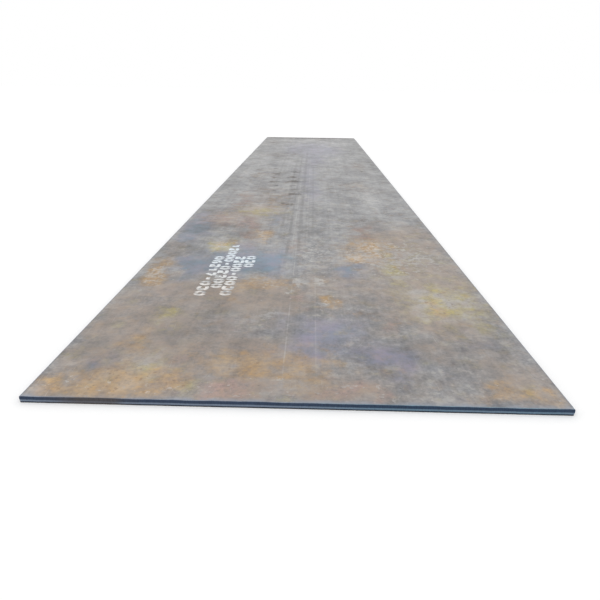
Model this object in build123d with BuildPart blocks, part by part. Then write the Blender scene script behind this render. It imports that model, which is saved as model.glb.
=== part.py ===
from build123d import *

import os
from math import radians, tan

# Hot-rolled steel plate, trimmed by shears on all four sides and lying flat.
# X runs across the plate, Y along the rolling direction and Z up. The origin is at the
# middle of the bottom face. All sizes are in millimetres.

# Plate
plate_length = 12000.0
plate_width = 2200.0
plate_thickness = 30.0

# Sheared edge, from the top face down: the blade draws the top corner over, cuts a
# smooth upright band, and the rest of the thickness breaks off at a lean.
rollover_width = 4.0
rollover_depth = 2.0
smooth_cut_share = 0.4  # of the thickness, cut by the blade before the steel breaks
break_lean = 4.0  # degrees from upright, back under the smooth band
burr_chamfer = 1.0  # bottom corner, where the burr was dressed off


def sheared_section(span):
    """Outline across two opposite sheared edges, span apart, standing on the sketch's X axis."""
    edge = span / 2
    smooth_top = plate_thickness - rollover_depth
    smooth_bottom = smooth_top - smooth_cut_share * plate_thickness
    break_foot = edge - (smooth_bottom - burr_chamfer) * tan(radians(break_lean))
    with BuildSketch() as section:
        with BuildLine():
            Polyline(
                (0, 0),
                (break_foot - burr_chamfer, 0),
                (break_foot, burr_chamfer),
                (edge, smooth_bottom),
                (edge, smooth_top),
            )
            rollover_start = (edge - rollover_width, plate_thickness)
            TangentArc(rollover_start, (edge, smooth_top), tangent=(1, 0))
            Line(rollover_start, (0, plate_thickness))
            mirror(about=Plane.YZ)
        make_face()
    return section.sketch


# The section across the width runs the whole length. The same section along the length
# then trims both ends, so the edge goes round all four sides and mitres at the corners.
with BuildPart() as steel_plate:
    with BuildSketch(Plane.XZ):
        add(sheared_section(plate_width))
    extrude(amount=plate_length / 2, both=True)
    with BuildSketch(Plane.YZ):
        add(sheared_section(plate_length))
    extrude(amount=plate_width / 2, both=True, mode=Mode.INTERSECT)

steel_plate.part.label = "steel_plate"

os.makedirs("parts", exist_ok=True)
export_step(steel_plate.part, "parts/steel_plate.step")
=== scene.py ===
from collections import namedtuple
from functools import partial
from math import atan, pi, radians, sin, sqrt, tan

import bpy
import numpy as np
from bpy.props import FloatProperty, FloatVectorProperty, IntProperty, PointerProperty
from mathutils import Matrix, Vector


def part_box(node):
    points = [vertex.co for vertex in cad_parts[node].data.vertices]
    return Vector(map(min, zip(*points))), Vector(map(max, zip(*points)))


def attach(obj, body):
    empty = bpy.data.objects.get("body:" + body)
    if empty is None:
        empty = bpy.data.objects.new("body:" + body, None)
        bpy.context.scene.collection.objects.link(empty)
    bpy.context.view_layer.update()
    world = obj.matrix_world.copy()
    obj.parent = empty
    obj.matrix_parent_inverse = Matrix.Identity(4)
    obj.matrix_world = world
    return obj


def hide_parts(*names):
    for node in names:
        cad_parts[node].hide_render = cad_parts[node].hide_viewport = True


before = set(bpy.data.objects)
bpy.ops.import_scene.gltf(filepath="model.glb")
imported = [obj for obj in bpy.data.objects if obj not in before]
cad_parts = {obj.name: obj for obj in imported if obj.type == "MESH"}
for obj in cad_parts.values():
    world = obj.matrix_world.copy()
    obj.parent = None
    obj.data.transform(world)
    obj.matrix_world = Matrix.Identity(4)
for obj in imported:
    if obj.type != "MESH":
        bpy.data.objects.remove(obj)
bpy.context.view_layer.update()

bl_info = {
    "name": "Rolled Steel Plate",
    "version": (1, 0, 0),
    "blender": (4, 5, 0),
    "location": "View3D > Sidebar > Plate",
    "description": "Finishes a packed steel plate with mill scale, rust, sheared edges and size marks",
    "category": "Object",
}

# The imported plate. X runs across it, Y along it from the near end, Z up. Metres throughout.
NODE = "steel_plate"
BODY = "root"
PLATE_LOW, PLATE_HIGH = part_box(NODE)
WIDTH, LENGTH, THICKNESS = PLATE_HIGH - PLATE_LOW
NEAR_END = PLATE_LOW.y
TOP = PLATE_HIGH.z
MM = 0.001
STEEL_DENSITY = 7850.0  # kg per cubic metre

# Sockets of Blender's Mix node when it mixes colours
MIX_A, MIX_B, MIX_RESULT = 6, 7, 2


def linear(hex_colour):
    """Turns an sRGB hex colour such as #8c8a88 into linear red, green, blue and alpha 1."""
    channels = np.array([int(hex_colour[i:i + 2], 16) for i in (1, 3, 5)]) / 255
    low = channels / 12.92
    high = ((channels + 0.055) / 1.055) ** 2.4
    return (*np.where(channels <= 0.04045, low, high).tolist(), 1.0)


def per_metre(millimetres):
    """Texture scale whose pattern repeats about once in that many millimetres."""
    return 1 / (millimetres * MM)


def colour(name, description, default):
    """A colour setting with an sRGB hex default."""
    return FloatVectorProperty(
        name=name, description=description, default=linear(default),
        subtype="COLOR", size=4, min=0, max=1,
    )


def number(name, description, default, least=0, **more):
    """A number setting, with the least that it may be."""
    return FloatProperty(name=name, description=description, default=default, min=least, **more)


length = partial(number, unit="LENGTH")
angle = partial(number, subtype="ANGLE")


class PlateShape(bpy.types.PropertyGroup):
    """Sizes of the sheared edge, the relief of the rolled faces and the mesh."""

    grid_step: length("Grid Step", "Spacing of the mesh on the top face", 20 * MM, 10 * MM)
    underside_steps: IntProperty(
        name="Underside Steps", description="Top face steps to each step of the underside",
        default=4, min=1,
    )
    rollover_width: length("Rollover Width", "How far in the top corner is drawn over", 4 * MM, 0.5 * MM)
    rollover_depth: length("Rollover Depth", "How far down the top corner is drawn over", 2 * MM, 0.2 * MM)
    smooth_band: length("Smooth Band", "Height of the upright band that the blade cut", 0.4 * THICKNESS, MM)
    break_lean: angle("Break Lean", "Lean of the broken band from upright", radians(4), max=radians(20))
    burr_chamfer: length("Burr Chamfer", "Chamfer of the bottom corner", 1 * MM, 0.1 * MM)
    tear_depth: length("Tear Depth", "How deep the broken band is torn", 0.7 * MM)
    wave_height: length("Wave Height", "Height of the long waves left by rolling", 0.5 * MM)
    scale_relief: length("Scale Relief", "Height of the lifted and flaked mill scale", 0.12 * MM)


class PlateFinish(bpy.types.PropertyGroup):
    """Colours of the mill scale, the rust and the sheared edge."""

    scale_dark: colour("Scale Dark", "Mill scale where it is thick", "#606166")
    scale_light: colour("Scale Light", "Mill scale where it is worn", "#a0a0a1")
    scale_bare: colour("Scale Bare", "Steel where the scale has flaked off", "#a9a7a3")
    scale_blue: colour("Scale Blue", "Heat tint of fresh mill scale", "#757b8f")
    scale_violet: colour("Scale Violet", "Heat tint of thicker mill scale", "#827b93")
    scale_teal: colour("Scale Teal", "Heat tint of the thinnest mill scale", "#5c7f95")
    rust_brown: colour("Rust Brown", "Thin rust haze", "#8e8379")
    rust_warm: colour("Rust Warm", "Thicker rust haze", "#9a897b")
    rust_mauve: colour("Rust Mauve", "Old rust under scale", "#a98e87")
    rust_yellow: colour("Rust Yellow", "Fresh yellow rust", "#b0a56a")
    rust_orange: colour("Rust Orange", "Orange rust bloom", "#b29062")
    rust_tan: colour("Rust Tan", "Rust that is rubbed thin", "#b29c80")
    rust_pit: colour("Rust Pit", "Heart of a rust spot", "#735c4a")
    # Also the colour of painted shade: the dark line along the long edges and the dark band at the far end
    stain_dark: colour("Stain Dark", "Dark smudges", "#4e4d4d")
    scuff_pale: colour("Scuff Pale", "Pale scuffs and chalk lines", "#c8c6c2")
    # Painted highlight: the pale top of the sheared edge, and the pale line at both ends of the top face
    edge_rim_highlight: colour("Edge Rim", "Drawn-over corner of the sheared edge", "#8a919e")
    edge_smooth: colour("Edge Smooth", "Upper band that the blade cut", "#27354b")
    edge_broken: colour("Edge Broken", "Lower band that broke off", "#6a7688")
    # Painted shade: the dark foot of the sheared edge, where it meets the floor
    edge_foot_shade: colour("Edge Foot", "Foot of the broken band", "#20262f")
    edge_rust: colour("Edge Rust", "Rust on the sheared edge", "#4a423c")
    edge_tint: colour("Edge Tint", "Heat tint that the sheared edge is multiplied by", "#dcfdff")


class MarkSettings(bpy.types.PropertyGroup):
    """Size, place and colour of the painted size marks."""

    digit_height: length("Digit Height", "Height of a stencilled digit", 62 * MM, 10 * MM)
    digit_width: length("Digit Width", "Width of a stencilled digit", 76 * MM, 10 * MM)
    digit_pitch: length("Digit Pitch", "Distance from one digit to the next", 88 * MM, 10 * MM)
    stroke: length("Stroke", "Width of a stencilled stroke", 25 * MM, 1 * MM)
    row_pitch: length("Row Pitch", "Distance from one row to the next", 77 * MM, 10 * MM)
    paint_thickness: length("Paint Thickness", "Height of the paint above the plate", 0.12 * MM, 0.02 * MM)
    paint_white: colour("Paint White", "Stencil paint", "#e0e9f0")
    paint_dusty: colour("Paint Dusty", "Stencil paint under rust dust", "#e6e1dc")
    paint_worn: colour("Paint Worn", "Stencil paint that is rubbed thin", "#a3a4a5")


class StageSettings(bpy.types.PropertyGroup):
    """Camera, light and floor."""

    camera_before: length("Camera Before", "Camera's distance in front of the near end", 1.7449)
    camera_above: length("Camera Above", "Camera's height above the top face", 1.1493)
    camera_right: length("Camera Right", "Camera's distance right of the centreline", 0.0494, -100)
    camera_down: angle("Camera Down", "How far the camera looks down", 0.38657, -pi)
    camera_left: angle("Camera Left", "How far the camera turns left of the plate's length", 0.01915, -pi)
    camera_roll: angle("Camera Roll", "How far the camera rolls about its own axis", 0.013448, -pi)
    lens: number("Lens", "Focal length in millimetres for a sensor 36 mm wide", 31.161, 1)
    sky_level: number("Sky Level", "Strength of the even light from all round", 0.83)
    sun_level: number("Sun Level", "Strength of the soft key light", 0.85)
    floor_white: colour("Floor White", "Studio floor", "#ffffff")


# Stains, placed one by one. Each row gives how far right of the centreline and how far from the
# near end a stain's middle lies, its half width and half length, all in metres, and its strength.
# They lie on the top face, apart from the two groups of the sheared edge.
BROWN_HAZE = (
    (-0.20, 0.12, 0.75, 0.22, 0.80),
    (-0.24, 0.46, 0.25, 0.12, 0.85),
    (0.66, 0.52, 0.16, 0.22, 0.45),
    (-0.30, 0.92, 0.22, 0.08, 0.50),
    (-1.00, 2.15, 0.10, 0.18, 0.50),
    (-0.76, 0.52, 0.36, 0.60, 1.00),
    (-0.50, 1.10, 0.60, 0.28, 0.95),
    (-0.98, 1.65, 0.10, 0.45, 0.75),
    (-0.26, 1.16, 0.26, 0.24, 0.95),
    (0.15, 1.40, 0.15, 0.15, 0.50),
    (0.75, 0.95, 0.30, 0.35, 1.00),
    (0.85, 1.60, 0.45, 0.60, 1.00),
    (0.78, 2.40, 0.35, 0.62, 1.00),
    (0.92, 0.25, 0.18, 0.20, 0.80),
    (-1.00, 0.48, 0.12, 0.45, 0.90),
    (-0.50, 3.40, 0.28, 0.55, 0.90),
    (-0.42, 4.30, 0.22, 0.50, 0.70),
    (0.55, 4.90, 0.30, 0.50, 0.36),
    (-0.62, 5.90, 0.30, 0.50, 0.36),
    (0.72, 6.70, 0.26, 0.60, 0.30),
    (-0.52, 8.20, 0.40, 0.60, 0.28),
    (0.45, 9.70, 0.35, 0.50, 0.26),
    (-0.75, 10.6, 0.30, 0.70, 0.30),
    (0.20, 11.6, 0.50, 0.35, 0.30),
)
MAUVE_RUST = (
    (-0.26, 0.08, 0.17, 0.08, 1.00),
    (0.23, 0.09, 0.13, 0.06, 1.00),
    (0.07, 0.07, 0.06, 0.05, 0.50),
    (-0.52, 0.34, 0.06, 0.08, 0.60),
    (-0.14, 0.42, 0.09, 0.03, 0.50),
    (-0.02, 1.15, 0.05, 0.14, 0.45),
    (0.48, 0.75, 0.06, 0.12, 0.40),
    (0.50, 2.70, 0.09, 0.28, 0.75),
    (-0.46, 2.65, 0.08, 0.36, 0.80),
    (-0.82, 3.10, 0.13, 0.34, 0.85),
    (-0.06, 2.20, 0.06, 0.22, 0.55),
    (-0.60, 3.00, 0.14, 0.25, 0.60),
    (-0.70, 4.05, 0.10, 0.50, 0.65),
)
YELLOW_RUST = (
    (0.80, 1.85, 0.30, 0.45, 0.28),
    (-0.72, 0.82, 0.06, 0.18, 0.55),
    (-0.94, 0.70, 0.06, 0.08, 0.40),
    (-0.70, 0.30, 0.09, 0.12, 0.60),
    (-0.45, 0.09, 0.05, 0.06, 0.50),
    (0.70, 0.95, 0.07, 0.13, 0.60),
    (0.87, 1.06, 0.22, 0.24, 0.95),
    (0.62, 1.66, 0.06, 0.34, 0.80),
    (-0.66, 2.20, 0.10, 0.16, 1.00),
    (-0.66, 2.18, 0.07, 0.10, 0.80),
    (-0.46, 3.42, 0.24, 0.18, 0.70),
)
ORANGE_RUST = (
    (-0.84, 0.10, 0.14, 0.08, 1.00),
    (-0.66, 0.08, 0.12, 0.07, 0.90),
    (-0.72, 0.19, 0.15, 0.08, 0.70),
    (-0.55, 0.13, 0.10, 0.08, 0.60),
    (-1.02, 0.11, 0.05, 0.08, 0.50),
    (-0.22, 0.33, 0.22, 0.10, 0.95),
    (0.05, 0.32, 0.12, 0.09, 0.95),
    (-0.05, 0.20, 0.16, 0.05, 0.60),
    (0.00, 0.12, 0.10, 0.06, 0.45),
    (-0.80, 0.54, 0.06, 0.13, 0.70),
    (-0.72, 0.40, 0.06, 0.06, 0.50),
    (-0.95, 1.40, 0.07, 0.15, 1.00),
    (-0.99, 1.70, 0.06, 0.20, 0.90),
    (-0.25, 1.36, 0.22, 0.09, 0.95),
    (-0.40, 1.16, 0.04, 0.14, 0.60),
    (0.17, 1.06, 0.05, 0.08, 0.95),
    (0.77, 0.98, 0.05, 0.11, 0.60),
    (0.32, 0.88, 0.05, 0.06, 0.50),
    (0.42, 1.92, 0.13, 0.14, 1.00),
    (0.50, 2.22, 0.18, 0.21, 1.00),
    (-0.34, 2.48, 0.07, 0.20, 1.00),
    (-0.62, 2.24, 0.10, 0.10, 0.65),
    (0.90, 0.12, 0.10, 0.08, 0.62),
    (1.05, 0.10, 0.04, 0.09, 0.70),
    (-0.35, 3.90, 0.10, 0.40, 0.30),
    (0.60, 5.00, 0.14, 0.25, 0.35),
    (-0.72, 5.80, 0.12, 0.25, 0.35),
    (0.80, 7.00, 0.12, 0.30, 0.25),
    (-0.35, 8.40, 0.16, 0.26, 0.22),
    (0.62, 9.40, 0.12, 0.30, 0.20),
    (-0.85, 10.8, 0.14, 0.35, 0.22),
)
BLUE_SCALE = (
    (0.11, 0.60, 0.20, 0.21, 1.00),
    (0.38, 0.41, 0.13, 0.07, 0.95),
    (0.48, 0.27, 0.05, 0.13, 0.70),
    (0.62, 0.30, 0.18, 0.25, 0.12),
    (0.92, 0.53, 0.12, 0.09, 0.42),
    (-0.92, 0.31, 0.09, 0.09, 0.30),
    (-0.67, 0.62, 0.07, 0.08, 0.45),
    (-0.83, 0.74, 0.06, 0.06, 0.40),
    (-0.27, 0.67, 0.18, 0.12, 0.22),
    (0.33, 1.10, 0.10, 0.30, 0.15),
    (-0.74, 1.72, 0.13, 0.30, 0.80),
    (-0.45, 1.80, 0.16, 0.28, 1.00),
    (-0.20, 1.76, 0.10, 0.22, 1.00),
    (0.30, 1.62, 0.08, 0.14, 0.80),
    (-0.42, 2.10, 0.05, 0.14, 0.70),
    (-0.96, 2.72, 0.14, 0.36, 1.00),
    (-1.04, 3.15, 0.08, 0.40, 0.60),
    (-0.27, 3.05, 0.07, 0.20, 0.45),
    (0.06, 4.50, 0.11, 0.75, 0.75),
    (-0.01, 6.00, 0.14, 0.80, 0.80),
    (0.07, 7.40, 0.15, 0.60, 0.80),
    (-0.30, 9.25, 0.22, 0.75, 0.85),
    (0.06, 8.80, 0.24, 0.95, 0.90),
    (0.42, 9.05, 0.20, 0.70, 0.85),
    (0.10, 10.1, 0.26, 0.45, 0.60),
    (0.00, 8.50, 1.10, 3.50, 0.20),
)
HEAT_BLUE = (
    (-0.22, 1.78, 0.12, 0.24, 1.00),
    (-0.45, 1.80, 0.16, 0.26, 1.00),
    (0.30, 1.64, 0.06, 0.10, 0.80),
    (-0.95, 2.64, 0.12, 0.32, 1.00),
    (-0.92, 0.31, 0.09, 0.09, 0.45),
    (-0.77, 1.74, 0.14, 0.25, 0.80),
    (-0.28, 3.05, 0.08, 0.22, 0.50),
)
DARK_STAIN_AND_SHADE = (
    (-0.46, 0.88, 0.04, 0.18, 0.42),
    (-0.18, 0.26, 0.04, 0.03, 0.40),
    (0.36, 0.34, 0.08, 0.02, 0.55),
    (0.33, 0.98, 0.02, 0.08, 0.42),
    (-0.22, 5.64, 0.09, 0.09, 1.00),
    (-0.20, 5.27, 0.09, 0.09, 1.00),
    (-0.45, 5.24, 0.06, 0.09, 1.00),
    (-0.45, 5.94, 0.06, 0.10, 0.90),
    (-0.17, 4.36, 0.09, 0.08, 0.95),
    (-0.24, 3.78, 0.04, 0.11, 0.85),
    (-0.16, 3.78, 0.03, 0.10, 0.75),
    (-0.12, 1.66, 0.05, 0.07, 0.50),
    (-0.50, 6.50, 0.05, 0.10, 0.70),
    (-0.47, 5.58, 0.05, 0.07, 0.85),
    (-0.42, 4.96, 0.04, 0.07, 0.85),
    (-0.40, 4.60, 0.05, 0.06, 0.75),
    (-0.21, 4.95, 0.06, 0.06, 0.75),
    (-0.16, 4.66, 0.05, 0.06, 0.70),
    (0.55, 3.10, 0.06, 0.10, 0.60),
    (0.55, 5.95, 0.05, 0.10, 0.70),
    (0.83, 6.30, 0.05, 0.10, 0.60),
    (-0.20, 6.10, 0.07, 0.10, 0.85),
    # Painted shade: a dark band along the far end of the top face, standing in for the shade at its far
    # edge
    (-0.40, 11.95, 0.80, 0.22, 1.00),
    (0.65, 11.95, 0.50, 0.20, 0.90),
)
PALE_SCUFF = (
    (0.40, 1.92, 0.10, 0.11, 0.35),
    (0.53, 2.25, 0.13, 0.17, 0.30),
    (-0.66, 2.20, 0.10, 0.15, 0.45),
    (-0.34, 2.48, 0.07, 0.20, 0.40),
    (-0.25, 1.34, 0.20, 0.08, 0.35),
    (0.17, 1.06, 0.05, 0.08, 0.40),
    (-0.40, 4.80, 0.05, 0.06, 0.90),
    (-0.38, 4.34, 0.06, 0.06, 0.80),
    (-0.06, 4.37, 0.03, 0.06, 0.80),
    (-0.02, 1.42, 0.04, 0.06, 0.80),
    (-0.07, 1.20, 0.03, 0.04, 0.80),
    (0.12, 1.38, 0.05, 0.06, 0.60),
    (-0.17, 0.84, 0.08, 0.03, 0.70),
    (0.24, 0.92, 0.02, 0.03, 0.80),
    (0.72, 4.10, 0.12, 0.40, 0.70),
    (-0.88, 6.20, 0.10, 0.40, 0.70),
    (0.05, 2.05, 0.16, 0.30, 0.40),
    (0.70, 1.95, 0.40, 0.45, 0.45),
    (-0.96, 1.52, 0.10, 0.28, 0.50),
    (0.00, 0.08, 1.10, 0.10, 0.25),
)
EDGE_RUST = (
    (-0.83, 0.00, 0.14, 0.10, 1.00),
    (-1.10, 1.60, 0.10, 0.50, 0.80),
    (1.10, 2.40, 0.10, 0.70, 0.80),
    (-1.10, 6.00, 0.10, 0.90, 0.70),
    (1.10, 8.20, 0.10, 0.80, 0.70),
    (0.40, 12.0, 0.40, 0.10, 0.80),
)
EDGE_HEAT = (
    (0.45, 0.00, 0.30, 0.10, 1.00),
    (1.00, 0.00, 0.25, 0.10, 0.90),
    (1.10, 5.00, 0.10, 1.20, 0.80),
    (-1.10, 9.00, 0.10, 1.20, 0.80),
    (-0.50, 12.0, 0.40, 0.10, 0.80),
)
GRIME_AND_SHADE = (
    (0.00, 10.0, 3.00, 5.50, 0.70),
    # Painted shade: a dark band along the far end of the top face, standing in for the shade at its far
    # edge
    (0.00, 11.97, 1.10, 0.12, 0.90),
    (-0.92, 0.31, 0.10, 0.10, 0.70),
    (-0.55, 1.00, 0.18, 0.13, 0.16),
    (0.50, 2.70, 0.12, 0.25, 0.16),
    (0.33, 1.10, 0.09, 0.18, 0.16),
    (0.45, 0.42, 0.30, 0.20, 0.18),
    (-0.42, 1.62, 0.12, 0.18, 0.60),
    (0.70, 3.05, 0.35, 0.25, 0.34),
    (-0.20, 0.90, 0.14, 0.10, 0.20),
    (0.40, 0.95, 0.15, 0.40, 0.14),
    (0.62, 0.50, 0.20, 0.25, 0.14),
    (0.00, 0.08, 0.14, 0.08, 0.20),
    (-1.07, 2.30, 0.07, 0.80, 0.60),
    (-1.05, 6.30, 0.09, 1.60, 0.40),
    (1.05, 6.20, 0.09, 1.80, 0.35),
    (-0.90, 0.33, 0.12, 0.11, 0.30),
    (-0.50, 0.55, 0.20, 0.12, 0.18),
    (-0.30, 0.85, 0.22, 0.20, 0.34),
    (0.40, 0.70, 0.10, 0.20, 0.15),
    (-0.65, 1.55, 0.30, 0.30, 0.38),
    (-0.86, 2.00, 0.14, 0.28, 0.70),
    (-0.85, 2.60, 0.30, 0.32, 0.95),
    (-0.46, 2.65, 0.14, 0.35, 0.18),
    (-0.78, 2.58, 0.18, 0.25, 0.80),
    (-0.60, 0.52, 0.10, 0.09, 0.30),
    (1.00, 0.62, 0.12, 0.24, 0.28),
    (0.42, 3.65, 0.14, 0.38, 0.30),
    (0.00, 2.95, 0.14, 0.42, 0.70),
    (0.42, 2.65, 0.12, 0.22, 0.15),
    (-1.00, 3.50, 0.15, 0.50, 0.50),
    (-0.60, 4.60, 0.20, 0.60, 0.36),
    (-0.08, 5.40, 0.25, 0.90, 0.50),
    (0.60, 4.50, 0.15, 0.50, 0.15),
    (-0.60, 5.80, 0.15, 0.70, 0.12),
    (1.02, 9.60, 0.14, 2.40, 0.80),
)
DUST = (
    (-0.66, 2.20, 0.10, 0.16, 0.70),
    (-0.34, 2.48, 0.08, 0.22, 0.55),
    (-0.96, 1.50, 0.09, 0.22, 0.36),
    (0.40, 1.92, 0.10, 0.12, 0.50),
    (0.53, 2.25, 0.12, 0.16, 0.26),
    (1.00, 1.40, 0.12, 0.20, 0.18),
    (0.12, 0.60, 0.13, 0.15, 0.14),
    (-1.07, 0.16, 0.06, 0.20, 0.50),
    (1.07, 0.20, 0.06, 0.30, 0.45),
    (-0.80, 0.54, 0.07, 0.12, 0.15),
    (-0.25, 1.34, 0.14, 0.08, 0.16),
    (-0.27, 0.67, 0.12, 0.09, 0.14),
    (-1.02, 0.08, 0.10, 0.10, 0.25),
    (-0.10, 1.12, 0.22, 0.16, 0.20),
    (-0.48, 3.60, 0.22, 0.40, 0.42),
    (-0.75, 3.05, 0.18, 0.25, 0.28),
    (-0.42, 4.40, 0.15, 0.40, 0.25),
    (0.23, 0.09, 0.12, 0.06, 0.18),
    (-1.00, 2.18, 0.10, 0.20, 0.30),
    (-0.22, 1.78, 0.10, 0.20, 0.16),
    (-0.75, 0.10, 0.45, 0.22, 0.25),
    (0.95, 0.12, 0.18, 0.15, 0.18),
    (0.75, 1.02, 0.25, 0.30, 0.36),
    (0.85, 1.65, 0.25, 0.40, 0.22),
    (0.55, 1.95, 0.20, 0.20, 0.18),
    (0.90, 2.60, 0.20, 0.32, 0.42),
    (0.20, 0.92, 0.12, 0.12, 0.15),
    (-0.20, 2.20, 0.12, 0.30, 0.15),
    (0.28, 9.20, 0.35, 2.20, 0.52),
    (-0.90, 7.20, 0.25, 0.80, 0.36),
    (-0.36, 10.8, 0.22, 0.90, 0.70),
    (0.35, 10.6, 0.35, 0.90, 0.55),
    (-0.20, 3.65, 0.12, 0.36, 0.28),
    (-0.80, 1.12, 0.16, 0.12, 0.26),
    (0.20, 1.38, 0.10, 0.12, 0.26),
    (0.80, 0.08, 0.12, 0.07, 0.30),
    (-0.48, 0.08, 0.20, 0.07, 0.24),
    (-0.70, 0.22, 0.20, 0.08, 0.18),
)
STAINS = {
    "brown_haze": BROWN_HAZE,
    "blue_scale": BLUE_SCALE,
    "mauve_rust": MAUVE_RUST,
    "yellow_rust": YELLOW_RUST,
    "orange_rust": ORANGE_RUST,
    "heat_blue": HEAT_BLUE,
    "dark_stain": DARK_STAIN_AND_SHADE,
    "pale_scuff": PALE_SCUFF,
    "edge_rust": EDGE_RUST,
    "edge_heat": EDGE_HEAT,
    "grime": GRIME_AND_SHADE,
    "dust": DUST,
}

# How far a stain wanders off its ellipse, and how much of it is rubbed off along the long edges
STAIN_WANDER = 0.035
RUBBED_WIDTH = 0.06
RUBBED_SHARE = 0.4


def ripple(x, y, size, seed, waves=14):
    """Smooth random field, about -1 to 1: the sum of cosine waves with random headings and
    phases, and with lengths spread round the given size."""
    random = np.random.default_rng(seed)
    headings = random.uniform(0, 2 * pi, waves)
    phases = random.uniform(0, 2 * pi, waves)
    rates = 2 * pi / (size * random.uniform(0.7, 1.5, waves))
    total = np.zeros_like(x)
    for heading, phase, rate in zip(headings, phases, rates):
        total += np.cos(rate * (x * np.cos(heading) + y * np.sin(heading)) + phase)
    return total / sqrt(2 * waves)


def stain_cover(x, along, stains):
    """Cover of a group of stains, 0 to 1. Each is a bell over an ellipse, strength times
    exp(-0.8 r squared), on coordinates that wander by a few centimetres. Where stains overlap,
    what each leaves clear is multiplied. Along the long edges some is rubbed off."""
    rubbed = RUBBED_SHARE * np.clip(1 - (WIDTH / 2 - np.abs(x)) / RUBBED_WIDTH, 0, 1)
    broad, fine = STAIN_WANDER, 0.5 * STAIN_WANDER
    x = x + broad * ripple(x, along, 0.22, seed=3) + fine * ripple(x, along, 0.09, seed=4)
    along = along + broad * ripple(x, along, 0.25, seed=5) + fine * ripple(x, along, 0.1, seed=6)
    clear = np.ones_like(x)
    for middle_x, middle_along, half_width, half_length, strength in stains:
        r2 = ((x - middle_x) / half_width) ** 2 + ((along - middle_along) / half_length) ** 2
        clear *= 1 - strength * np.exp(-0.8 * r2)
    return (1 - rubbed) * (1 - clear)


# The least depth of the rolled face below the plate's highest level, which leaves room for paint,
# and how far in from the drawn-over corner the face reaches its full depth
LEAST_DEPTH = 0.2 * MM
SETTLING_WIDTH = 0.08


def top_relief(shape, x, y):
    """Depth of the top face below the plate's highest level: long waves along the rolling
    direction, a shorter cockle, and steps where the mill scale has lifted."""
    long_wave = ripple(0.35 * x, y, 2.4, seed=11)
    cockle = ripple(x, y, 0.7, seed=12)
    lifted = np.tanh(3 * ripple(x, y, 0.16, seed=13))
    depth = shape.wave_height * (1.2 + 0.7 * long_wave + 0.25 * cockle)
    return np.maximum(depth + 0.5 * shape.scale_relief * (1 + lifted), LEAST_DEPTH)


def edge_profile(shape):
    """Inward distance from the outline, and height, of the points down the sheared edge: an
    arc that leaves the top face level, an upright band, a band that leans back, a chamfer."""
    arc_turn = 2 * atan(shape.rollover_depth / shape.rollover_width)
    arc_radius = shape.rollover_width / sin(arc_turn)
    turn = np.linspace(0, arc_turn, 5)
    arc = np.stack([
        shape.rollover_width - arc_radius * np.sin(turn),
        TOP - arc_radius * (1 - np.cos(turn)),
    ], axis=1)
    smooth_foot = TOP - shape.rollover_depth - shape.smooth_band
    lean = (smooth_foot - shape.burr_chamfer) * tan(shape.break_lean)
    smooth = np.linspace(arc[-1], (0, smooth_foot), 4)[1:]
    broken = np.linspace((0, smooth_foot), (lean, shape.burr_chamfer), 5)[1:]
    chamfer = np.array([[lean + shape.burr_chamfer, 0]])
    return np.concatenate([arc, smooth, broken, chamfer])


def rim_of(grid):
    """The border of a grid of numbers, once round: near side, right side, far side, left side."""
    return np.concatenate([grid[0, :-1], grid[:-1, -1], grid[-1, :0:-1], grid[:0:-1, 0]])


def quads_of(grid):
    """Corner numbers of every square of a grid, turning anticlockwise seen from above."""
    corners = [grid[:-1, :-1], grid[:-1, 1:], grid[1:, 1:], grid[1:, :-1]]
    return np.stack(corners, axis=-1).reshape(-1, 4)


# The tears start over this much height of the broken band, and the foot keeps a share of them
TEAR_START = 4 * MM
FOOT_TEAR_SHARE = 0.4


def edge_rings(shape, profile, rim):
    """Points of the sheared edge, one ring for each point of the profile below the top face. A
    ring is the plate's outline less the profile's inward distance, and less the bite of the
    tears in the broken band: two ripples, 90 and 50 mm long, that shift with the height."""
    half = np.array([WIDTH, LENGTH]) / 2
    outward = np.where(np.abs(rim) > 1 - 1e-9, np.sign(rim), 0)
    x, y = rim[:, 0] * half[0], rim[:, 1] * half[1]
    smooth_foot = TOP - shape.rollover_depth - shape.smooth_band
    rings = []
    for inward, height in profile:
        broken = np.clip((smooth_foot - height) / TEAR_START, 0, 1)
        share = 1.0 if height > shape.burr_chamfer / 2 else FOOT_TEAR_SHARE
        torn = ripple(x, y + 40 * height, 0.09, seed=21) + 0.6 * ripple(x + 9 * height, y, 0.05, seed=22)
        bite = shape.tear_depth * broken * share * np.clip(0.5 + 0.5 * torn, 0, 1)
        place = rim * (half - inward) - outward * bite[:, None]
        rings.append(np.column_stack([place, np.full(len(rim), height)]))
    return np.stack(rings)


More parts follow.
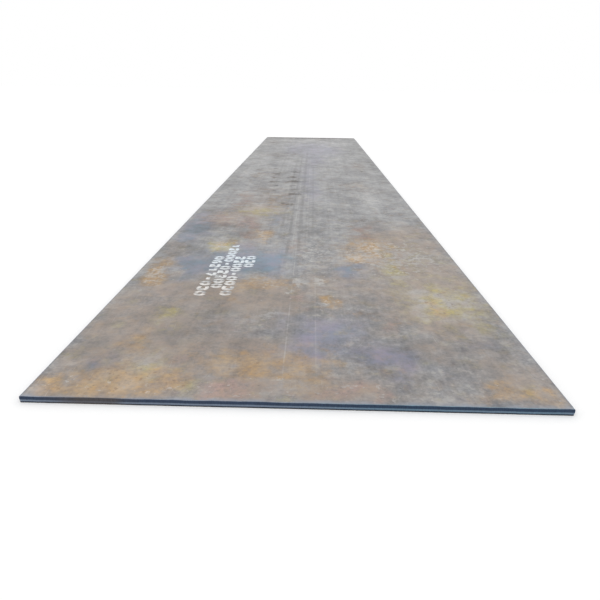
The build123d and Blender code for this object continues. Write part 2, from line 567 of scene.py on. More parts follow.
def plate_surface(shape):
    """The closed surface of the plate: its points, its faces in four groups, and how many points
    the top and the edge have. The top is a grid, whose border is carried down the edge in rings.
    The underside is a coarser grid, and a strip joins it to the last ring."""
    coarse = shape.underside_steps
    columns = coarse * round(WIDTH / shape.grid_step / coarse)
    rows = coarse * round(LENGTH / shape.grid_step / coarse)
    half = np.array([WIDTH, LENGTH]) / 2
    shares = np.linspace(-1, 1, rows + 1), np.linspace(-1, 1, columns + 1)
    share_y, share_x = np.meshgrid(*shares, indexing="ij")
    profile = edge_profile(shape)

    flat = half - profile[0, 0]
    x, y = share_x * flat[0], share_y * flat[1]
    border = np.minimum(flat[0] - np.abs(x), flat[1] - np.abs(y))
    settled = np.clip(border / SETTLING_WIDTH, 0, 1)
    top = np.stack([x, y, TOP - settled * top_relief(shape, x, y)], axis=-1).reshape(-1, 3)
    top_ids = np.arange(len(top)).reshape(rows + 1, columns + 1)

    rim = np.stack([rim_of(share_x), rim_of(share_y)], axis=1)
    rings = edge_rings(shape, profile[1:], rim)
    edge = rings.reshape(-1, 3)
    edge_ids = len(top) + np.arange(len(edge)).reshape(rings.shape[:2])
    down = np.concatenate([rim_of(top_ids)[None], edge_ids])
    after = np.roll(down, -1, axis=1)
    edge_quads = np.stack([down[:-1], down[1:], after[1:], after[:-1]], axis=-1).reshape(-1, 4)

    inset = half - profile[-1, 0] - shape.grid_step
    low_x = share_x[::coarse, ::coarse] * inset[0]
    low_y = share_y[::coarse, ::coarse] * inset[1]
    low = np.stack([low_x, low_y, np.zeros_like(low_x)], axis=-1).reshape(-1, 3)
    low_ids = len(top) + len(edge) + np.arange(len(low)).reshape(low_x.shape)
    low_quads = quads_of(low_ids)[:, ::-1]
    low_rim = rim_of(low_ids)
    foot = edge_ids[-1]
    strip = [foot[::coarse], low_rim, np.roll(low_rim, -1)]
    strip += [np.roll(foot, -step)[::coarse] for step in range(coarse, 0, -1)]
    strip = np.stack(strip, axis=-1)

    points = np.concatenate([top, edge, low])
    return points, [quads_of(top_ids), edge_quads, low_quads, strip], len(top), len(edge)


def mesh_of(name, points, faces):
    """A mesh from an array of points and a list of face arrays."""
    mesh = bpy.data.meshes.new(name)
    corners = np.concatenate([group.ravel() for group in faces])
    sizes = np.concatenate([np.full(len(group), group.shape[1]) for group in faces])
    mesh.vertices.add(len(points))
    mesh.vertices.foreach_set("co", points.astype(np.float32).ravel())
    mesh.loops.add(len(corners))
    mesh.loops.foreach_set("vertex_index", corners.astype(np.int32))
    mesh.polygons.add(len(sizes))
    mesh.polygons.foreach_set("loop_start", (np.cumsum(sizes) - sizes).astype(np.int32))
    mesh.update(calc_edges=True)
    if mesh.validate():
        raise RuntimeError(f"{name} has faulty faces")
    return mesh


def shown(name, mesh):
    """A new object at the origin with that mesh, riding on the plate's body."""
    piece = bpy.data.objects.new(name, mesh)
    bpy.context.scene.collection.objects.link(piece)
    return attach(piece, BODY)


def add_node(tree, kind, sockets=None, **settings):
    """Adds one shader node, with its settings, and with numbers or links in its input sockets."""
    made = tree.nodes.new("ShaderNode" + kind)
    for name, value in settings.items():
        setattr(made, name, value)
    for name, value in (sockets or {}).items():
        if isinstance(value, bpy.types.NodeSocket):
            tree.links.new(value, made.inputs[name])
        else:
            made.inputs[name].default_value = value
    return made.outputs


def new_material(name):
    """An empty material, and add_node for its tree."""
    material = bpy.data.materials.new(name)
    material.use_nodes = True
    material.node_tree.nodes.clear()
    return material, partial(add_node, material.node_tree)


def away(seed):
    """Where a pattern is read from, metres off the plate and different for each seed. At its own
    origin fractal noise shows rays, and patterns that share an origin repeat each other there."""
    return (31 + 7.3 * seed, 57 + 5.9 * seed, 13 + 3.7 * seed)


# One grain of the mill scale: its size in mm, how far it is drawn out along the rolling
# direction, the detail and roughness of its noise, and its weight in the tone. The real grain
# of the scale is finer than a pixel, so the finest here is as coarse as it needs to show.
Grain = namedtuple("Grain", "size_mm stretch detail roughness weight")
GRAINS = {
    "lanes": Grain(260, 8.0, 3, 0.55, 0.80),
    "clouds": Grain(340, 1.4, 3, 0.55, 1.00),
    "blotches": Grain(130, 1.2, 4, 0.60, 1.00),
    "mottle": Grain(48, 1.0, 3, 0.60, 0.80),
    "speckle": Grain(15, 1.0, 2, 0.65, 0.60),
    "streaks": Grain(22, 60, 4, 0.60, 0.60),
}
# One kind of stain in the finish: its vertex attribute, its two colour settings, the grain size
# that breaks up its outline in mm, how far that grain reaches, where cover starts and is full,
# how opaque it gets, how rusty it is, and how much it thins between grains of powder.
Layer = namedtuple("Layer", "attribute colour second grain_mm reach low high opacity rusty thin")
LAYERS = (
    Layer("brown_haze", "rust_brown", "rust_warm", 240, 1.8, 0.95, 2.0, 0.90, 0.5, 0.35),
    Layer("blue_scale", "scale_blue", "scale_violet", 200, 1.8, 1.00, 1.85, 0.90, 0.0, 0.5),
    Layer("mauve_rust", "rust_mauve", "rust_warm", 110, 2.2, 1.15, 2.1, 0.95, 0.5, 0.6),
    Layer("yellow_rust", "rust_yellow", "scale_bare", 100, 2.4, 1.20, 2.3, 0.95, 0.6, 0.45),
    Layer("orange_rust", "rust_orange", "rust_tan", 80, 2.6, 1.30, 2.5, 0.88, 0.9, 0.45),
    Layer("dark_stain", "stain_dark", "rust_pit", 50, 1.8, 1.15, 1.80, 0.65, 0.8, 0.5),
    Layer("pale_scuff", "scuff_pale", "scale_light", 42, 2.6, 1.66, 1.90, 0.60, 0.0, 0.4),
    Layer("heat_blue", "scale_teal", "scale_blue", 120, 2.0, 1.15, 2.0, 0.90, 0.0, 0.5),
)
# How rusty the scale is between its stains, and the size of the cells that hold its rust spots
RUST_ALL_OVER = 0.12
SPOT_CELL_MM = 24
# Handling scratches: heading off the rolling direction in degrees, and the threshold that keeps
# only their crests, then how wide they are and how far drawn out. Real ones are finer than a
# pixel, so these are as wide as they need to show.
SCRATCHES = ((5, 0.74), (-28, 0.75), (64, 0.75), (97, 0.74))
SCRATCH_MM = 4
SCRATCH_STRETCH = 50
# Rolling lines along the plate: how far right of the centreline and how wide, where they start
# and end from the near end, all in metres, their colour setting and how opaque they are. They
# fade over a third of their width at both sides, and over LINE_FADE metres at both ends.
Line = namedtuple("Line", "across width start end colour opacity")
LINES = (
    Line(-0.060, 0.010, 0.00, 2.40, "scuff_pale", 0.28),
    Line(0.085, 0.010, 0.10, 1.80, "scuff_pale", 0.15),
    Line(-0.205, 0.040, 2.60, 8.00, "stain_dark", 0.42),
    Line(-0.130, 0.036, 1.60, 8.50, "stain_dark", 0.55),
    Line(-0.092, 0.014, 2.00, 7.00, "scuff_pale", 0.30),
    Line(-0.045, 0.050, 2.00, 9.00, "stain_dark", 0.50),
    Line(0.018, 0.014, 2.20, 8.00, "scuff_pale", 0.26),
    Line(0.070, 0.030, 2.40, 7.00, "stain_dark", 0.34),
    Line(0.340, 0.020, 4.00, 11.0, "scuff_pale", 0.16),
    Line(-0.420, 0.036, 3.60, 11.5, "stain_dark", 0.26),
)
LINE_FADE = 0.4
# The dark line along the long edges, which is painted shade: how far in it starts at the near end,
# what each metre of the plate adds to that, and how far in it is full
SIDE_LINE = 6 * MM
SIDE_LINE_GROWTH = 2 * MM
SIDE_LINE_FULL = 4 * MM
# The bright line at both ends, which is a painted highlight: how far in it starts and is full
END_LINE = 30 * MM
END_LINE_FULL = 8 * MM
# Brightness of the colour all over, what full dust adds or full grime and painted shade take, and what
# powder adds
FILM_LEVEL = 0.945
FILM_REACH = 0.5
POWDER_REACH = 0.1
# Seeds of the patterns that aren't in a list above
EDGE_SEED = 40
COMB_SEED = 41
PAINT_SEED = 50
SPOT_SEED = 60


def scale_grain(add, place):
    """Noise of each grain by its name, and the tone of the bare scale, 0 dark to 1 light: a half
    plus the sum of each grain's noise, less a half, times its weight."""
    noise = {}
    tone = 0.5 - 0.5 * sum(grain.weight for grain in GRAINS.values())
    for seed, (name, grain) in enumerate(GRAINS.items()):
        drawn = add("Mapping", {
            "Vector": place, "Location": away(seed), "Scale": (1, grain.stretch, 1),
        }, vector_type="TEXTURE")["Vector"]
        noise[name] = add("TexNoise", {
            "Vector": drawn, "Scale": per_metre(grain.size_mm), "Detail": grain.detail,
            "Roughness": grain.roughness,
        })["Fac"]
        tone = add("Math", {0: noise[name], 1: grain.weight, 2: tone}, operation="MULTIPLY_ADD")["Value"]
    return noise, tone


def flaked_places(add, noise):
    """Where the scale has come off: spots with a crisp edge, in shoals."""
    crowded = add("Math", {
        0: noise["clouds"], 1: 0.5, 2: noise["mottle"],
    }, operation="MULTIPLY_ADD")["Value"]
    return add("MapRange", {"Value": crowded, "From Min": 0.84, "From Max": 0.87})["Result"]


def stain_coats(add, finish, place, noise, powder):
    """Cover and colour of each kind of stain, and how rusty they leave the scale. Noise breaks up
    the cover, powder thins it in spots, and blotches shift the colour."""
    hue = add("MapRange", {"Value": noise["blotches"], "From Min": 0.38, "From Max": 0.62})["Result"]
    rusty = RUST_ALL_OVER
    coats = []
    for seed, layer in enumerate(LAYERS, start=len(GRAINS)):
        mask = add("Attribute", attribute_name=layer.attribute)["Fac"]
        moved = add("Mapping", {"Vector": place, "Location": away(seed)}, vector_type="TEXTURE")["Vector"]
        broken = add("TexNoise", {
            "Vector": moved, "Scale": per_metre(layer.grain_mm), "Detail": 7, "Roughness": 0.68,
        })["Fac"]
        total = add("Math", {0: broken, 1: layer.reach, 2: mask}, operation="MULTIPLY_ADD")["Value"]
        cover = add("MapRange", {
            "Value": total, "From Min": layer.low, "From Max": layer.high, "To Max": layer.opacity,
        }, interpolation_type="SMOOTHSTEP")["Result"]
        grit = add("MapRange", {"Value": powder, "To Min": 1 - layer.thin})["Result"]
        dusted = add("Math", {0: cover, 1: grit}, operation="MULTIPLY")["Value"]
        rusty = add("Math", {0: cover, 1: layer.rusty, 2: rusty}, operation="MULTIPLY_ADD")["Value"]
        tint = add("Mix", {
            "Factor": hue, MIX_A: getattr(finish, layer.colour), MIX_B: getattr(finish, layer.second),
        }, data_type="RGBA")[MIX_RESULT]
        coats.append((dusted, tint))
    return coats, rusty


def rust_spots(add, place, rusty):
    """Cover of the dark hearts of rust, one to a cell: the rustier the place, the wider its spots."""
    moved = add("Mapping", {"Vector": place, "Location": away(SPOT_SEED)}, vector_type="TEXTURE")["Vector"]
    cell = add("TexVoronoi", {"Vector": moved, "Scale": per_metre(SPOT_CELL_MM), "Detail": 1.0})
    chance = add("SeparateColor", {"Color": cell["Color"]})["Red"]
    width = add("Math", {0: chance, 1: rusty}, operation="MULTIPLY")["Value"]
    inside = add("Math", {0: width, 1: 0.55, 2: -0.1}, operation="MULTIPLY_ADD")["Value"]
    inside = add("Math", {0: inside, 1: cell["Distance"]}, operation="SUBTRACT")["Value"]
    return add("MapRange", {"Value": inside, "From Max": 0.2, "To Max": 0.4})["Result"]


def scratch_coats(add, finish, place):
    """Cover and colour of the scratches: noise drawn out along each heading, only its crests kept."""
    coats = []
    for seed, (heading, threshold) in enumerate(SCRATCHES, start=len(GRAINS) + len(LAYERS)):
        drawn = add("Mapping", {
            "Vector": place, "Location": away(seed), "Rotation": (0, 0, radians(heading)),
            "Scale": (1, SCRATCH_STRETCH, 1),
        }, vector_type="TEXTURE")["Vector"]
        lines = add("TexNoise", {"Vector": drawn, "Scale": per_metre(SCRATCH_MM), "Detail": 1})["Fac"]
        thin = add("MapRange", {
            "Value": lines, "From Min": threshold, "From Max": threshold + 0.06, "To Max": 0.3,
        })["Result"]
        coats.append((thin, finish.scuff_pale))
    return coats


def line_coats(add, finish, split, rubbed):
    """Cover and colour of the rolling lines, each as opaque as it is near its own middle."""
    coats = []
    for line in LINES:
        middle = NEAR_END + (line.start + line.end) / 2
        strip = add("Math", {0: rubbed, 1: line.opacity}, operation="MULTIPLY")["Value"]
        for axis, centre, reach, fade in (
            ("X", line.across, line.width / 2, line.width / 3),
            ("Y", middle, (line.end - line.start) / 2, LINE_FADE),
        ):
            offset = add("Math", {0: split[axis], 1: centre}, operation="SUBTRACT")["Value"]
            offset = add("Math", {0: offset}, operation="ABSOLUTE")["Value"]
            strip = add("MapRange", {
                "Value": offset, "From Min": reach, "From Max": reach - fade, "To Max": strip,
            })["Result"]
        coats.append((strip, getattr(finish, line.colour)))
    return coats


def edge_shade_and_highlight_coats(add, finish, split, rubbed):
    """Cover and colour of the lines along the drawn-over corner of the top face: painted shade
    along the long edges, wider the further off, and a painted highlight with a blue tint at
    both ends, unless orange rust hides it."""
    aside = add("Math", {0: split["X"]}, operation="ABSOLUTE")["Value"]
    inner = add("Math", {
        0: split["Y"], 1: -SIDE_LINE_GROWTH, 2: WIDTH / 2 - SIDE_LINE + SIDE_LINE_GROWTH * NEAR_END,
    }, operation="MULTIPLY_ADD")["Value"]
    dark = add("MapRange", {
        "Value": aside, "From Min": inner, "From Max": WIDTH / 2 - SIDE_LINE_FULL, "To Max": 0.7,
    })["Result"]
    rusted = add("Attribute", attribute_name="orange_rust")["Fac"]
    clean = add("MapRange", {"Value": rusted, "From Max": 0.4, "To Min": 0.9, "To Max": 0.1})["Result"]
    beyond = add("Math", {0: split["Y"]}, operation="ABSOLUTE")["Value"]
    bright = add("MapRange", {
        "Value": beyond, "From Min": LENGTH / 2 - END_LINE, "From Max": LENGTH / 2 - END_LINE_FULL,
        "To Max": clean,
    })["Result"]
    bright = add("Math", {0: bright, 1: rubbed}, operation="MULTIPLY")["Value"]
    return [(dark, finish.stain_dark), (bright, finish.edge_rim_highlight)]


def film_level(add, noise, powder):
    """How bright the colour is under broad places of grime, which lies in patches and darkens it,
    and of painted shade along the far end, or of dust, which makes it paler, and under the fine
    grain of the powder."""
    patches = add("Math", {0: noise["clouds"], 1: noise["blotches"]}, operation="ADD")["Value"]
    patches = add("MapRange", {
        "Value": patches, "From Min": 0.75, "From Max": 1.25, "To Min": 1.5, "To Max": 0.5,
    })["Result"]
    grime = add("Attribute", attribute_name="grime")["Fac"]
    grime = add("Math", {0: grime, 1: patches}, operation="MULTIPLY")["Value"]
    dust = add("Attribute", attribute_name="dust")["Fac"]
    film = add("Math", {0: dust, 1: grime}, operation="SUBTRACT")["Value"]
    film = add("Math", {0: film, 1: FILM_REACH, 2: FILM_LEVEL}, operation="MULTIPLY_ADD")["Value"]
    return add("Math", {0: powder, 1: POWDER_REACH, 2: film}, operation="MULTIPLY_ADD")["Value"]


def mill_scale(finish):
    """Hot-rolled steel under mill scale: an oxide skin, grey to blue, dull but not matt, with
    streaks along the rolling direction and thin rust where it has cracked."""
    material, add = new_material("mill_scale_on_hot_rolled_steel")
    place = add("TexCoord")["Object"]
    split = add("SeparateXYZ", {"Vector": place})
    noise, tone = scale_grain(add, place)
    powder = add("Math", {0: noise["mottle"], 1: noise["speckle"]}, operation="ADD")["Value"]
    powder = add("MapRange", {"Value": powder, "From Min": 0.75, "From Max": 1.2})["Result"]
    rubbed = add("MapRange", {
        "Value": noise["blotches"], "From Min": 0.4, "From Max": 0.6, "To Min": 0.2,
    })["Result"]

    # The bare scale by its tone, then each coat over the one before
    worn = add("MapRange", {"Value": tone, "From Min": 0.08, "From Max": 0.92})["Result"]
    shade = add("Mix", {
        "Factor": worn, MIX_A: finish.scale_dark, MIX_B: finish.scale_light,
    }, data_type="RGBA")[MIX_RESULT]
    flaked = flaked_places(add, noise)
    bare = add("Math", {0: flaked, 1: 0.4}, operation="MULTIPLY")["Value"]
    stains, rusty = stain_coats(add, finish, place, noise, powder)
    coats = [
        (bare, finish.scale_bare),
        *stains,
        (rust_spots(add, place, rusty), finish.rust_pit),
        *scratch_coats(add, finish, place),
        *line_coats(add, finish, split, rubbed),
        *edge_shade_and_highlight_coats(add, finish, split, rubbed),
    ]
    for cover, tint in coats:
        shade = add("Mix", {"Factor": cover, MIX_A: shade, MIX_B: tint}, data_type="RGBA")[MIX_RESULT]
    shade = add("HueSaturation", {"Color": shade, "Value": film_level(add, noise, powder)})["Color"]

    height = add("Math", {0: flaked, 1: -0.2, 2: tone}, operation="MULTIPLY_ADD")["Value"]
    bump = add("Bump", {"Height": height, "Strength": 0.6, "Distance": 0.5 * MM})["Normal"]
    rough = add("MapRange", {"Value": rusty, "To Min": 0.28, "To Max": 0.75})["Result"]
    surface = add("BsdfPrincipled", {"Base Color": shade, "Roughness": rough, "Normal": bump})["BSDF"]
    add("OutputMaterial", {"Surface": surface})
    return material


# Where each band of the sheared edge starts or ends, as a share of the thickness from the foot,
# and the range that the borders between them wander in. The dark foot band is painted shade
# and the pale top band is a painted highlight.
EDGE_BANDS = (
    (0.18, "edge_foot_shade"), (0.25, "edge_broken"), (0.45, "edge_broken"),
    (0.54, "edge_smooth"), (0.95, "edge_smooth"), (0.99, "edge_rim_highlight"),
)
BAND_WANDER = 4 * MM


def sheared_edge(finish):
    """Steel parted by a shear: a burnished upper band, dark blue, over a torn band that is
    coarser and paler, with rust creeping in from both corners. The foot is darkened with
    painted shade, and the top is lightened with a painted highlight."""
    material, add = new_material("sheared_steel_edge")
    place = add("TexCoord")["Object"]
    moved = add("Mapping", {"Vector": place, "Location": away(EDGE_SEED)}, vector_type="TEXTURE")["Vector"]
    upright = add("Mapping", {
        "Vector": place, "Location": away(COMB_SEED), "Scale": (1, 1, 8),
    }, vector_type="TEXTURE")["Vector"]

    # Bands by height, with painted shade at the foot and a painted highlight at the top
    wobble = add("TexNoise", {
        "Vector": moved, "Scale": per_metre(110), "Detail": 5, "Roughness": 0.65,
    })["Fac"]
    height = add("SeparateXYZ", {"Vector": place})["Z"]
    level = add("Math", {0: wobble, 1: BAND_WANDER, 2: height}, operation="MULTIPLY_ADD")["Value"]
    level = add("MapRange", {
        "Value": level, "From Min": BAND_WANDER / 2, "From Max": TOP + BAND_WANDER / 2,
    })["Result"]
    bands = add("ValToRGB", {"Fac": level})["Color"]
    ramp = bands.node.color_ramp
    ramp.elements[0].color = finish.edge_foot_shade
    ramp.elements[1].color = finish.edge_rim_highlight
    for position, tint in EDGE_BANDS:
        ramp.elements.new(position).color = getattr(finish, tint)

    # Heat tint and rust in a few places, and a little rust in clouds all round
    tinted = add("Attribute", attribute_name="edge_heat")["Fac"]
    bands = add("Mix", {
        "Factor": tinted, MIX_A: bands, MIX_B: finish.edge_tint,
    }, data_type="RGBA", blend_type="MULTIPLY")[MIX_RESULT]
    clouds = add("TexNoise", {
        "Vector": moved, "Scale": per_metre(480), "Detail": 4, "Roughness": 0.6,
    })["Fac"]
    rusted = add("Attribute", attribute_name="edge_rust")["Fac"]
    rusty = add("Math", {0: rusted, 1: 0.6, 2: clouds}, operation="MULTIPLY_ADD")["Value"]
    rusty = add("MapRange", {"Value": rusty, "From Min": 0.6, "From Max": 1.0, "To Max": 0.7})["Result"]
    shade = add("Mix", {
        "Factor": rusty, MIX_A: bands, MIX_B: finish.edge_rust,
    }, data_type="RGBA")[MIX_RESULT]

    # Upright lines that the blade combed. Real ones are finer than a pixel, so they are coarser.
    combed = add("TexNoise", {
        "Vector": upright, "Scale": per_metre(3), "Detail": 3, "Roughness": 0.6,
    })["Fac"]
    streak = add("MapRange", {
        "Value": combed, "From Min": 0.3, "From Max": 0.7, "To Min": 0.75, "To Max": 1.25,
    })["Result"]
    shade = add("Mix", {
        "Factor": 1.0, MIX_A: shade, MIX_B: streak,
    }, data_type="RGBA", blend_type="MULTIPLY")[MIX_RESULT]
    bump = add("Bump", {"Height": combed, "Strength": 0.5, "Distance": 0.4 * MM})["Normal"]
    surface = add("BsdfPrincipled", {
        "Base Color": shade, "Roughness": 0.6, "Normal": bump, "Specular IOR Level": 0.25,
    })["BSDF"]
    add("OutputMaterial", {"Surface": surface})
    return material


# How far from the near end the paint starts to be dusty, where it is so in full, and what that
# adds to its wear
DUSTY_FROM = 1.8
DUSTY_IN_FULL = 1.2
DUSTY_WEAR = 0.11


def stencil_paint(marks):
    """White marking paint sprayed through a stencil: matt, chalky, rubbed thin in places, more
    rubbed and warmer with rust dust towards the near end."""
    material, add = new_material("white_stencil_paint")
    place = add("TexCoord")["Object"]
    moved = add("Mapping", {"Vector": place, "Location": away(PAINT_SEED)}, vector_type="TEXTURE")["Vector"]
    wear = add("TexNoise", {
        "Vector": moved, "Scale": per_metre(45), "Detail": 5, "Roughness": 0.6,
    })["Fac"]
    along = add("SeparateXYZ", {"Vector": place})["Y"]
    dusty = add("MapRange", {
        "Value": along, "From Min": NEAR_END + DUSTY_FROM, "From Max": NEAR_END + DUSTY_IN_FULL,
    })["Result"]
    white = add("Mix", {
        "Factor": dusty, MIX_A: marks.paint_white, MIX_B: marks.paint_dusty,
    }, data_type="RGBA")[MIX_RESULT]
    wear = add("Math", {0: dusty, 1: DUSTY_WEAR, 2: wear}, operation="MULTIPLY_ADD")["Value"]
    thin = add("MapRange", {"Value": wear, "From Min": 0.54, "From Max": 0.74})["Result"]
    shade = add("Mix", {
        "Factor": thin, MIX_A: white, MIX_B: marks.paint_worn,
    }, data_type="RGBA")[MIX_RESULT]
    surface = add("BsdfPrincipled", {"Base Color": shade, "Roughness": 0.75})["BSDF"]
    add("OutputMaterial", {"Surface": surface})
    return material


def ring(*ellipse):
    """Both halves of a numeral's ring, with a bridge at its top and one at its foot."""
    return ("arc", *ellipse, -76, 76), ("arc", *ellipse, 104, 256)


# Stencil numerals on a cell 0.6 wide and 1 tall. A stroke is an arc of an ellipse (middle,
# radii, first and last angle in degrees) or a straight line (two ends). The gaps between
# strokes are the stencil's bridges.
NUMERALS = {
    "0": ring(0.30, 0.50, 0.22, 0.42),
    "1": (("line", 0.34, 0.08, 0.34, 0.92), ("line", 0.12, 0.70, 0.24, 0.84)),
    "2": (("arc", 0.30, 0.68, 0.22, 0.24, 165, -25), ("line", 0.46, 0.46, 0.12, 0.18),
          ("line", 0.08, 0.08, 0.52, 0.08)),
    "3": (("arc", 0.28, 0.71, 0.22, 0.21, 150, -70), ("arc", 0.28, 0.29, 0.24, 0.21, 70, -150)),
    "4": (("line", 0.42, 0.08, 0.42, 0.92), ("line", 0.30, 0.86, 0.08, 0.42),
          ("line", 0.06, 0.30, 0.32, 0.30)),
    "5": (("line", 0.16, 0.92, 0.52, 0.92), ("line", 0.12, 0.84, 0.12, 0.58),
          ("arc", 0.27, 0.32, 0.25, 0.24, 110, -150)),
    "6": (("arc", 0.52, 0.36, 0.43, 0.56, 98, 160), *ring(0.30, 0.30, 0.22, 0.22)),
    "7": (("line", 0.08, 0.92, 0.52, 0.92), ("line", 0.50, 0.80, 0.22, 0.08)),
    "8": (*ring(0.30, 0.72, 0.19, 0.20), *ring(0.30, 0.29, 0.22, 0.21)),
    "9": (("arc", 0.08, 0.64, 0.43, 0.56, -82, -20), *ring(0.30, 0.70, 0.22, 0.22)),
    "-": (("line", 0.16, 0.50, 0.46, 0.50),),
}
CELL_WIDTH = 0.6
STROKE_POINTS = 13
# How far right of the centreline the middle of the first row of marks lies, and how far from the
# near end each row starts
FIRST_ROW = -0.38
ROW_STARTS = (1.92, 1.91, 2.21, 1.90)


def stroke_path(stroke):
    """Middle line of a stroke as STROKE_POINTS points, evenly spread along its line or arc."""
    share = np.linspace(0, 1, STROKE_POINTS)[:, None]
    if stroke[0] == "line":
        ends = np.array(stroke[1:]).reshape(2, 2)
        return ends[0] + share * (ends[1] - ends[0])
    middle_x, middle_y, radius_x, radius_y, first, last = stroke[1:]
    turn = np.radians(first + share[:, 0] * (last - first))
    return np.column_stack([middle_x + radius_x * np.cos(turn), middle_y + radius_y * np.sin(turn)])


def mark_rows():
    """Rows of plain numbers, first row first: the plate's own sizes in mm, and its weight in kg.
    They read towards the near end."""
    thick, wide, long = (round(size / MM) for size in (THICKNESS, WIDTH, LENGTH))
    weight = round(WIDTH * LENGTH * THICKNESS * STEEL_DENSITY)
    return f"{thick:03d}", f"{wide}-{thick:04d}", f"{long}-{wide:05d}", f"{weight:05d}-{thick:03d}"


def mark_surface(shape, marks):
    """Painted strokes as closed ribbons: the middle line of each stroke, widened by half the
    stroke to both sides, with a top just above the plate and a foot just inside it."""
    cell = np.array([marks.digit_width / CELL_WIDTH, marks.digit_height])
    middles = []
    for row, (text, start) in enumerate(zip(mark_rows(), ROW_STARTS)):
        base = FIRST_ROW - row * marks.row_pitch - marks.digit_height / 2
        for place, digit in enumerate(text):
            for stroke in NUMERALS[digit]:
                path = stroke_path(stroke) * cell
                along = NEAR_END + start - place * marks.digit_pitch - path[:, 0]
                middles.append(np.column_stack([base + path[:, 1], along]))
    middle = np.array(middles)
    run = np.gradient(middle, axis=1)
    run /= np.linalg.norm(run, axis=2, keepdims=True)
    side = np.stack([-run[..., 1], run[..., 0]], axis=-1) * marks.stroke / 2
    flat = np.stack([middle - side, middle + side], axis=2)
    level = TOP - top_relief(shape, flat[..., 0], flat[..., 1])
    upper = np.concatenate([flat, (level + marks.paint_thickness)[..., None]], axis=-1)
    lower = np.concatenate([flat, (level - marks.paint_thickness)[..., None]], axis=-1)
    points = np.concatenate([upper, lower], axis=2).reshape(-1, 3)
    ids = np.arange(len(points)).reshape(len(middle), STROKE_POINTS, 4)
    corners = ids[:, :, [1, 0, 2, 3]]
    ahead, here = corners[:, 1:], corners[:, :-1]
    sides = np.stack([here, np.roll(here, -1, axis=2), np.roll(ahead, -1, axis=2), ahead], axis=-1)
    ends = np.concatenate([corners[:, 0, ::-1], corners[:, -1]])
    return points, [sides.reshape(-1, 4), ends]


class PLATE_OT_rolled_plate(bpy.types.Operator):
    """Make the plate's visible surface, with its sheared edges, relief and finish"""

    bl_idname = "plate.rolled_plate"
    bl_label = "Rolled Plate"

    def execute(self, context):
        shape, finish = context.scene.plate_shape, context.scene.plate_finish
        points, faces, top_count, edge_count = plate_surface(shape)
        mesh = mesh_of("rolled_plate", points, faces)
        # The underside has the stains of the top face, turned half round
        under = np.arange(len(points)) >= top_count + edge_count
        turned = np.where(under, -1.0, 1.0)
        across, along = points[:, 0] * turned, points[:, 1] * turned - NEAR_END
        for name, stains in STAINS.items():
            cover = mesh.attributes.new(name, "FLOAT", "POINT")
            cover.data.foreach_set("value", stain_cover(across, along, stains).astype(np.float32))
        mesh.materials.append(mill_scale(finish))
        mesh.materials.append(sheared_edge(finish))
        slots = np.repeat([0, 1, 0, 0], [len(group) for group in faces])
        mesh.polygons.foreach_set("material_index", slots.astype(np.int32))
        mesh.shade_smooth()
        mesh.set_sharp_from_angle(angle=radians(30))
        piece = shown("rolled_plate", mesh)
        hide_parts(NODE)
        return {"FINISHED"}


class PLATE_OT_size_marks(bpy.types.Operator):
    """Paint rows of plain stencilled numbers on the top face"""

    bl_idname = "plate.size_marks"
    bl_label = "Size Marks"

    def execute(self, context):
        marks = context.scene.plate_marks
        mesh = mesh_of("size_marks", *mark_surface(context.scene.plate_shape, marks))
        mesh.materials.append(stencil_paint(marks))
        shown("size_marks", mesh)
        return {"FINISHED"}


# Half the floor's side, how far it lies below the plate's foot, and the farthest the camera sees
FLOOR_REACH = 400.0
FLOOR_GAP = 0.2 * MM
CAMERA_REACH = 1000
# The sun's apparent width, and how it is turned from straight overhead
SUN_WIDTH = radians(40)
SUN_TURN = (radians(35), radians(-25), 0)


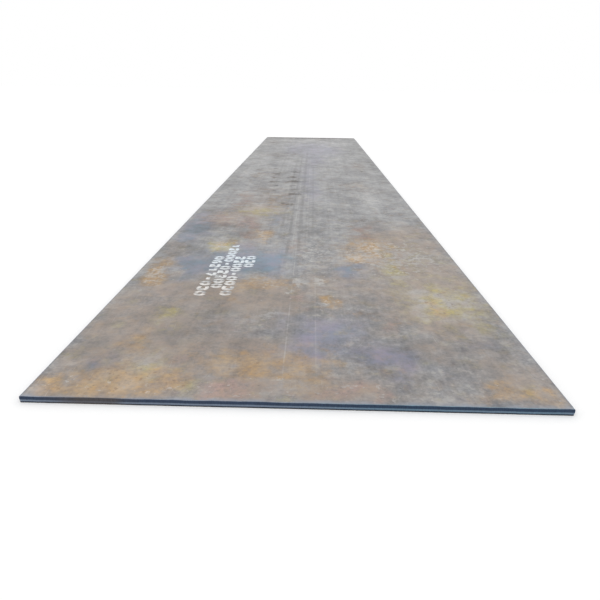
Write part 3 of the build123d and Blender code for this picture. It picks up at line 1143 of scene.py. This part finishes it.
class PLATE_OT_stage(bpy.types.Operator):
    """Set the floor, the light and the camera"""

    bl_idname = "plate.stage"
    bl_label = "Stage"

    def execute(self, context):
        stage, scene = context.scene.plate_stage, context.scene
        scene.view_settings.view_transform = "Standard"
        self.make_floor(scene, stage)
        self.make_light(scene, stage)
        self.make_camera(scene, stage)
        return {"FINISHED"}

    def make_floor(self, scene, stage):
        """A pale matt floor, wide enough to run to the horizon."""
        corners = FLOOR_REACH * np.array([[-1, -1, 0], [1, -1, 0], [1, 1, 0], [-1, 1, 0]])
        floor = bpy.data.objects.new("floor", mesh_of("floor", corners, [np.array([[0, 1, 2, 3]])]))
        scene.collection.objects.link(floor)
        floor.location.z = -FLOOR_GAP
        material, add = new_material("studio_floor")
        matt = add("BsdfDiffuse", {"Color": stage.floor_white})["BSDF"]
        add("OutputMaterial", {"Surface": matt})
        floor.data.materials.append(material)

    def make_light(self, scene, stage):
        """Even white light from all round, which the camera and reflections see as plain white,
        and a broad soft sun from the upper left."""
        world = bpy.data.worlds.new("studio")
        world.use_nodes = True
        world.node_tree.nodes.clear()
        add = partial(add_node, world.node_tree)
        path = add("LightPath")
        seen = path["Is Camera Ray"]
        for ray in ("Is Glossy Ray", "Is Transmission Ray"):
            seen = add("Math", {0: seen, 1: path[ray]}, operation="MAXIMUM")["Value"]
        level = add("MapRange", {"Value": seen, "To Min": stage.sky_level, "To Max": 1.0})["Result"]
        sky = add("Background", {"Color": (1, 1, 1, 1), "Strength": level})["Background"]
        add("OutputWorld", {"Surface": sky})
        scene.world = world
        sun = bpy.data.lights.new("sun", "SUN")
        sun.energy = stage.sun_level
        sun.angle = SUN_WIDTH
        lamp = bpy.data.objects.new("sun", sun)
        lamp.rotation_euler = SUN_TURN
        scene.collection.objects.link(lamp)

    def make_camera(self, scene, stage):
        """Stands the camera before the near end, looking along the plate and down."""
        camera = bpy.data.cameras.new("camera")
        camera.sensor_width = 36
        camera.lens = stage.lens
        camera.clip_end = CAMERA_REACH
        eye = bpy.data.objects.new("camera", camera)
        spot = (stage.camera_right, NEAR_END - stage.camera_before, TOP + stage.camera_above)
        turn = Matrix.Rotation(stage.camera_left, 4, "Z")
        tilt = Matrix.Rotation(pi / 2 - stage.camera_down, 4, "X")
        roll = Matrix.Rotation(stage.camera_roll, 4, "Z")
        eye.matrix_world = Matrix.Translation(spot) @ turn @ tilt @ roll
        scene.collection.objects.link(eye)
        scene.camera = eye


class PLATE_PT_sidebar(bpy.types.Panel):
    """Lists the plate's settings and steps"""

    bl_label = "Steel Plate"
    bl_idname = "PLATE_PT_sidebar"
    bl_space_type = "VIEW_3D"
    bl_region_type = "UI"
    bl_category = "Plate"

    def draw(self, context):
        for settings, step in STEPS:
            box = self.layout.box()
            for group in settings:
                owner = getattr(context.scene, group)
                for name in owner.__annotations__:
                    box.prop(owner, name)
            box.operator(step)


STEPS = (
    (("plate_shape", "plate_finish"), "plate.rolled_plate"),
    (("plate_marks",), "plate.size_marks"),
    (("plate_stage",), "plate.stage"),
)
GROUPS = {
    "plate_shape": PlateShape,
    "plate_finish": PlateFinish,
    "plate_marks": MarkSettings,
    "plate_stage": StageSettings,
}
CLASSES = (
    *GROUPS.values(), PLATE_OT_rolled_plate, PLATE_OT_size_marks, PLATE_OT_stage, PLATE_PT_sidebar,
)


def register():
    for each in CLASSES:
        bpy.utils.register_class(each)
    for name, group in GROUPS.items():
        setattr(bpy.types.Scene, name, PointerProperty(type=group))


def unregister():
    for name in GROUPS:
        delattr(bpy.types.Scene, name)
    for each in reversed(CLASSES):
        bpy.utils.unregister_class(each)


def main():
    register()
    bpy.ops.plate.rolled_plate()
    bpy.ops.plate.size_marks()
    bpy.ops.plate.stage()


if __name__ == "__main__":
    main()
